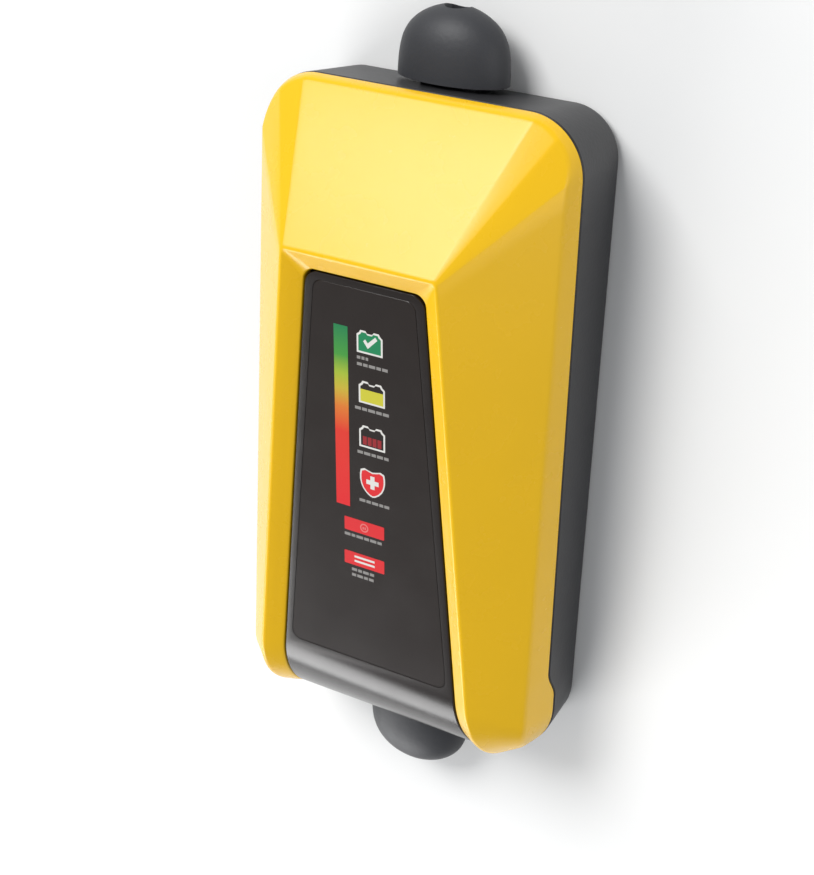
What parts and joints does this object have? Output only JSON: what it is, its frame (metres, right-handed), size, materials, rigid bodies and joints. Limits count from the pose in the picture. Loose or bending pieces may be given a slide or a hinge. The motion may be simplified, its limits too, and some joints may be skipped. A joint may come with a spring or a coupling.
{
  "type": "car battery charger",
  "caption": "Handheld-size automatic vehicle battery charger with a sloping cover, a framed status display and a cord gland at each end.",
  "frame": {"origin": "on the base, at the middle of the charger's length and width", "axes": "+Z out of the display face, +Y along the length towards the mains end, +X across to the right"},
  "size_m": [0.0608, 0.1448, 0.0347],
  "materials": {
    "cover_plastic": "glossy moulded yellow plastic",
    "case_plastic": "fine-textured black plastic",
    "panel_plastic": "satin black plastic",
    "overlay_film": "printed polyester film",
    "rubber": "soft sealing rubber",
    "gland_rubber": "moulded rubber",
    "clear_acrylic": "clear acrylic",
    "board": "green solder mask",
    "black_moulding": "black moulded epoxy",
    "label": "blank silver label",
    "nylon": "natural nylon",
    "insulation": "vulcanised fibre sheet",
    "ceramic": "glazed ceramic tube",
    "disc_epoxy": "blue epoxy coating",
    "film_box": "yellow box of a film capacitor",
    "copper": "enamelled copper wire",
    "capacitor_sleeve": "shrunk sleeve over an aluminium can",
    "ferrite": "sintered ferrite",
    "winding_tape": "yellow polyester tape",
    "aluminium": "folded aluminium sheet",
    "steel": "zinc-plated steel",
    "led_epoxy": "moulded light-emitting diode"
  },
  "bodies": {
    "root": {"back_case": "case_plastic", "board_screw_1": "steel", "board_screw_2": "steel", "board_screw_3": "steel", "board_screw_4": "steel", "bridge_rectifier": "black_moulding", "bulk_capacitor": "capacitor_sleeve", "case_screw_1": "steel", "case_screw_2": "steel", "case_screw_3": "steel", "case_screw_4": "steel", "case_seal": "rubber", "circuit_board": "board", "clamp_screw_1": "steel", "clamp_screw_2": "steel", "clamp_screw_3": "steel", "clamp_screw_4": "steel", "controller_chip": "black_moulding", "diode_heat_sink": "aluminium", "display_board": "board", "display_overlay": "overlay_film", "display_panel": "panel_plastic", "front_cover": "cover_plastic", "insulation_sheet": "insulation", "light_guide": "clear_acrylic", "line_choke": "copper", "link_header": "black_moulding", "mains_connector": "nylon", "mains_cord_clamp": "nylon", "mains_fuse": "ceramic", "mains_gland": "gland_rubber", "optocoupler": "black_moulding", "output_capacitor_1": "capacitor_sleeve", "output_capacitor_2": "capacitor_sleeve", "output_connector": "nylon", "output_cord_clamp": "nylon", "output_diode": "black_moulding", "output_gland": "gland_rubber", "output_inductor": "ferrite", "output_transistor": "black_moulding", "power_transistor": "black_moulding", "rating_label": "label", "status_led_1": "led_epoxy", "status_led_2": "led_epoxy", "status_led_3": "led_epoxy", "status_led_4": "led_epoxy", "status_led_5": "led_epoxy", "status_led_6": "led_epoxy", "transformer_core": "ferrite", "transformer_winding": "winding_tape", "transistor_heat_sink": "aluminium", "varistor": "disc_epoxy", "x_capacitor": "film_box", "y_capacitor": "disc_epoxy"}
  },
  "joints": []
}
